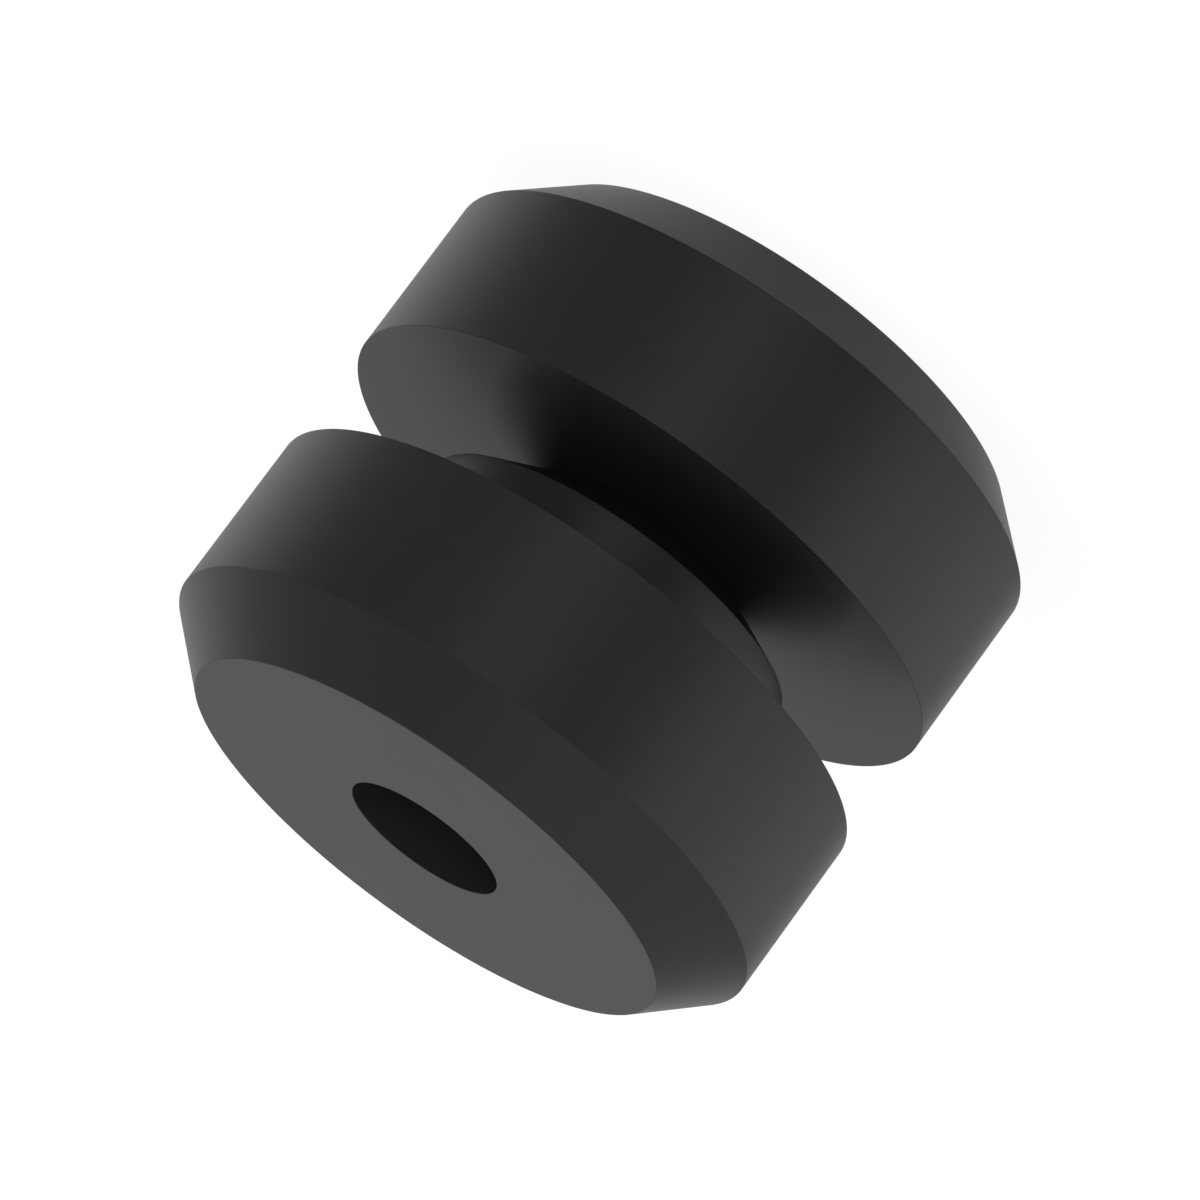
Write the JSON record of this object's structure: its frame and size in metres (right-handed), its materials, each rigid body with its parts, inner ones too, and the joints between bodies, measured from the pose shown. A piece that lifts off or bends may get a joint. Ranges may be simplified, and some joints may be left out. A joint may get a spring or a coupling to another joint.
{
  "type": "vibration isolator",
  "caption": "Ring-and-bushing vibration isolator in black rubber: a flanged bushing with a stepped, tapered boss seats on a bevelled ring, with a bolt bore through both.",
  "frame": {"origin": "centre of the ring's flat outer end, which is the face that the isolator stands on", "axes": "+Z along the bolt axis, from the ring to the bushing's outer end; the part is round, so X and Y are free"},
  "size_m": [0.0254, 0.0254, 0.0229],
  "materials": {
    "rubber": "satin black moulded rubber"
  },
  "bodies": {
    "root": {"bushing": "rubber", "ring": "rubber"}
  },
  "joints": []
}
